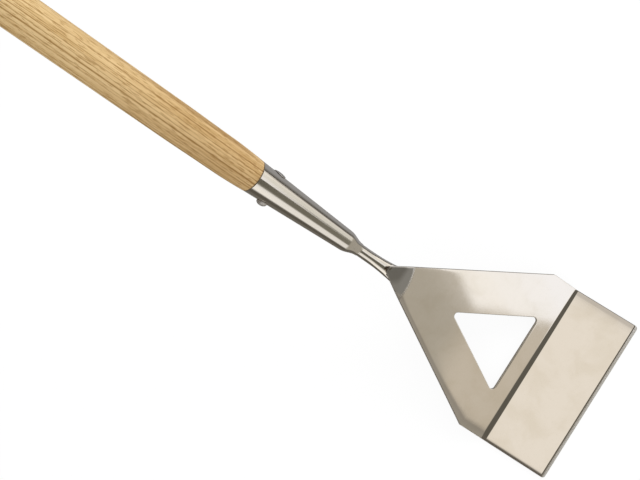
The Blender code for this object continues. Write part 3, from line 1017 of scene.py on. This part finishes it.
studio = {
    "level": 0.80,  # the room's even light on anything that isn't a mirror
    "floorSize": 4.0,  # from the middle to a side
    "floorDrop": 0.0004,  # keeps the floor's face apart from the blade's
    "floorColour": (0.93, 0.93, 0.93),
    "floorShade": 0.12,  # how much of the shadow the white floor keeps
    "floorGlow": 1.03,
    "room": (1.0, 0.98, 0.95),  # what metal mirrors where there is no card
    "turnStart": (0.0556, 0.1978, 0.9787),  # side of the handle that turns are counted from
    "skewSide": 0.43,  # slant of a skewed card's sides, and of its ends
    "skewLean": -1.5,
}

# Each card is a box in one pair of angles, with its colour and the width of its soft
# edge, in degrees: turn about the handle and height along it, or tilt to the side and
# lean to the front, straight or skewed. A later card lies over the ones before it.
cards = (
    ("turn", (-200, -70, -100, 100), (0.155, 0.146, 0.13), 8),
    ("turn", (-200, -160, -100, 100), (0.34, 0.33, 0.33), 34),
    ("turn", (-112, -82, -100, 100), (0.105, 0.098, 0.083), 14),
    ("turn", (-77, -29.5, -100, 100), (0.88, 0.885, 0.885), 13),
    ("turn", (-29.5, 29, -100, 100), (0.178, 0.172, 0.142), 14),
    ("turn", (30, 60.5, -100, 100), (0.73, 0.735, 0.70), 13),
    ("turn", (68, 200, -100, 100), (0.078, 0.072, 0.064), 19),
    ("turn", (85, 200, -100, 100), (0.19, 0.19, 0.185), 9),
    ("turn", (98, 200, -100, 100), (0.315, 0.32, 0.335), 16),
    ("turn", (150, 200, -100, 100), (0.45, 0.45, 0.47), 30),
    ("turn", (-92, 82, -100, -39.5), (0.38, 0.365, 0.327), 12),  # below, seen in the nose
    ("turn", (28.5, 76, -30.2, -6), (1.08, 1.06, 1.01), 1.2),  # seen in the neck
    ("turn", (-70, -44, -30.2, -6), (1.09, 1.08, 1.04), 1.2),
    ("turn", (-17, 23, -31, -20), (0.052, 0.046, 0.032), 5),
    ("tilt", (-26, 26, -180, -24), (0.20, 0.19, 0.17), 8),  # behind
    ("tilt", (-35, 35, 4, 47), (0.12, 0.115, 0.10), 4),  # dark gap seen in the bend
    ("tilt", (-9, 20, -30, 3), (0.895, 0.86, 0.80), 3),  # over the blade
    ("tilt", (-20, -6.9, -30, 3), (0.60, 0.575, 0.54), 1.2),
    ("tilt", (-60, -13, -60, 40), (0.16, 0.155, 0.15), 6),
    ("tilt", (-12, 3, 45, 55), (0.445, 0.42, 0.365), 2),  # grey over the plate
    ("tilt", (-12, 3, 49.3, 55), (0.60, 0.555, 0.48), 1.6),
    ("skew", (11, 17.1, 54.4, 66), (0.58, 0.555, 0.51), 2.6),
    ("skew", (11, 16.96, 55.5, 66), (1.02, 1.02, 1.015), 0.6),  # bright part
    ("skew", (11, 16.96, 57.6, 66), (1.025, 1.035, 1.05), 0.6),  # cooler step by step
    ("skew", (11, 16.96, 59.2, 66), (1.03, 1.05, 1.09), 0.6),
    ("skew", (11, 16.96, 60.8, 66), (1.035, 1.065, 1.13), 0.6),
    ("tilt", (-0.1, 40, 44, 54), (0.30, 0.28, 0.25), 0.9),  # +X corner
    ("tilt", (-12, 30, 53, 69), (0.235, 0.236, 0.228), 1),  # dark over the tip
    ("tilt", (-12, 30, 61, 69.5), (0.152, 0.151, 0.142), 4),
    ("tilt", (0.9, 60, 40, 55), (0.34, 0.325, 0.29), 3),  # dusk towards the +X rim
    ("tilt", (3.4, 60, 38, 55), (0.17, 0.16, 0.145), 2),  # dark beyond it
    ("tilt", (1, 60, -40, 39), (0.13, 0.12, 0.105), 1.8),  # the same beside the blade
    ("tilt", (-80, -9.5, 38, 75), (0.99, 1, 1.02), 3),  # light beyond the -X rim
)


def makeCardGroup():
    # Lays one soft-edged card over what is under it: the product of its four sides'
    # masks.
    inputs = {"Under": "Color", "Card": "Color"}
    inputs.update(dict.fromkeys(("Across", "Along", "Left", "Right", "Low", "High", "Soft"), "Float"))
    group, given, made = newGroup("studioCard", inputs, {"Color": "Color"})
    mask = 1.0
    for angle, low, high in (("Across", "Left", "Right"), ("Along", "Low", "High")):
        for edge, sign in ((low, 1.0), (high, -1.0)):
            inside = calc(group, "MULTIPLY", calc(group, "SUBTRACT", given[angle], given[edge]), sign)
            share = calc(group, "DIVIDE", inside, given["Soft"])
            mask = calc(group, "MULTIPLY", mask, remap(group, share, -0.5, 0.5))
    fill(made, {"Color": mixColour(group, mask, given["Under"], given["Card"])})
    return group


def cardAngles(tree):
    # Each direction as the pairs of angles that the cards are boxes in.
    way = addNode(tree, "ShaderNodeTexCoord").outputs["Generated"]
    split = splitSpace(tree, way)

    def degrees(operation, *values):
        return calc(tree, "MULTIPLY", calc(tree, operation, *values), math.degrees(1.0))

    def facing(axis):
        inputs = {0: way, 1: tuple(axis)}
        return addNode(tree, "ShaderNodeVectorMath", inputs, operation="DOT_PRODUCT").outputs["Value"]

    front = np.array(studio["turnStart"])
    front = unit(front - alongHandle * (front @ alongHandle))
    turn = degrees("ARCTAN2", facing(np.cross(alongHandle, front)), facing(front))
    height = degrees("ARCSINE", facing(alongHandle))
    lean = degrees("ARCTAN2", split[1], split[2])
    tiltSide = degrees("ARCSINE", split[0])
    skewSide = calc(tree, "MULTIPLY_ADD", lean, studio["skewSide"], tiltSide)
    skewLean = calc(tree, "MULTIPLY_ADD", tiltSide, studio["skewLean"], lean)
    return {"turn": (turn, height), "tilt": (tiltSide, lean), "skew": (skewSide, skewLean)}


def makeWorld():
    # Mirrors see the cards, the camera sees white, and all else gets an even light.
    world = bpy.data.worlds.new("studio")
    bpy.context.scene.world = world
    world.use_nodes = True
    tree = world.node_tree
    tree.nodes.clear()
    angles = cardAngles(tree)
    cardGroup = makeCardGroup()
    mirrored = opaque(studio["room"])
    for pair, box, colour, soft in cards:
        across, along = angles[pair]
        inputs = {"Under": mirrored, "Card": opaque(colour), "Across": across, "Along": along}
        inputs.update(zip(("Left", "Right", "Low", "High"), box), Soft=soft)
        mirrored = addNode(tree, "ShaderNodeGroup", inputs, node_tree=cardGroup).outputs[0]

    path = addNode(tree, "ShaderNodeLightPath").outputs
    plain = opaque((studio["level"],) * 3)
    final = mixColour(tree, path["Is Glossy Ray"], plain, mirrored)
    final = mixColour(tree, path["Is Camera Ray"], final, white)
    light = addNode(tree, "ShaderNodeBackground", {"Color": final, "Strength": 1.0})
    addNode(tree, "ShaderNodeOutputWorld", {"Surface": light.outputs[0]})


def makeFloor():
    # A matt white that the camera sees mostly as a plain glow, and polished metal not
    # at all, since the cards stand all round it.
    size, drop = studio["floorSize"], studio["floorDrop"]
    corners = [(size * x, size * y, -drop) for x, y in ((-1, -1), (1, -1), (1, 1), (-1, 1))]
    mesh = bpy.data.meshes.new("floor")
    mesh.from_pydata(corners, [], [(0, 1, 2, 3)])
    material, tree = newMaterial("floorWhite")[:2]
    tree.nodes.clear()
    seen = addNode(tree, "ShaderNodeLightPath").outputs["Is Camera Ray"]
    share = calc(tree, "MULTIPLY", seen, 1.0 - studio["floorShade"])
    matt = addNode(tree, "ShaderNodeBsdfDiffuse", {"Color": opaque(studio["floorColour"])})
    glow = addNode(tree, "ShaderNodeEmission", {"Color": white, "Strength": studio["floorGlow"]})
    both = addNode(tree, "ShaderNodeMixShader", {0: share, 1: matt.outputs[0], 2: glow.outputs[0]})
    addNode(tree, "ShaderNodeOutputMaterial", {"Surface": both.outputs[0]})
    mesh.materials.append(material)
    floor = addObject("floor", mesh)
    floor.visible_glossy = False


def addAimed(data, place, aim, roll=0.0):
    # Puts a lamp or camera at a place, looking at its aim, level and then rolled.
    ahead = unit(np.subtract(aim, place))
    level = unit(np.cross(ahead, (0.0, 0.0, 1.0)))
    upright = np.cross(level, ahead)
    right = math.cos(roll) * level + math.sin(roll) * upright
    up = math.cos(roll) * upright - math.sin(roll) * level
    rows = np.column_stack((right, up, -ahead, place))
    thing = addObject(data.name, data)
    thing.matrix_world = Matrix((*rows.tolist(), (0.0, 0.0, 0.0, 1.0)))
    return thing


softLamp = {"power": 13.0, "size": 1.4, "place": (-1.7, 0.0, 1.1), "aim": (0.0, -0.2, 0.1)}


def makeLamp():
    data = bpy.data.lights.new("softLamp", "AREA")
    data.energy = softLamp["power"]
    data.size = softLamp["size"]
    lamp = addAimed(data, softLamp["place"], softLamp["aim"])
    lamp.visible_glossy = False


photoCamera = {
    "place": (0.0752, 0.0080, 1.2314),
    "aim": (0.00525, -0.24090, 0.0),
    "roll": math.radians(-41.835),
    "lens": 80.655,  # in millimetres, on a sensor this wide
    "sensor": 36.0,
}


def makeCamera():
    data = bpy.data.cameras.new("photoCamera")
    data.sensor_width = photoCamera["sensor"]
    data.lens = photoCamera["lens"]
    bpy.context.scene.camera = addAimed(data, photoCamera["place"], photoCamera["aim"], photoCamera["roll"])


makeFloor()
makeWorld()
makeLamp()
makeCamera()
bpy.context.scene.view_settings.view_transform = "Standard"
print("studio ready")
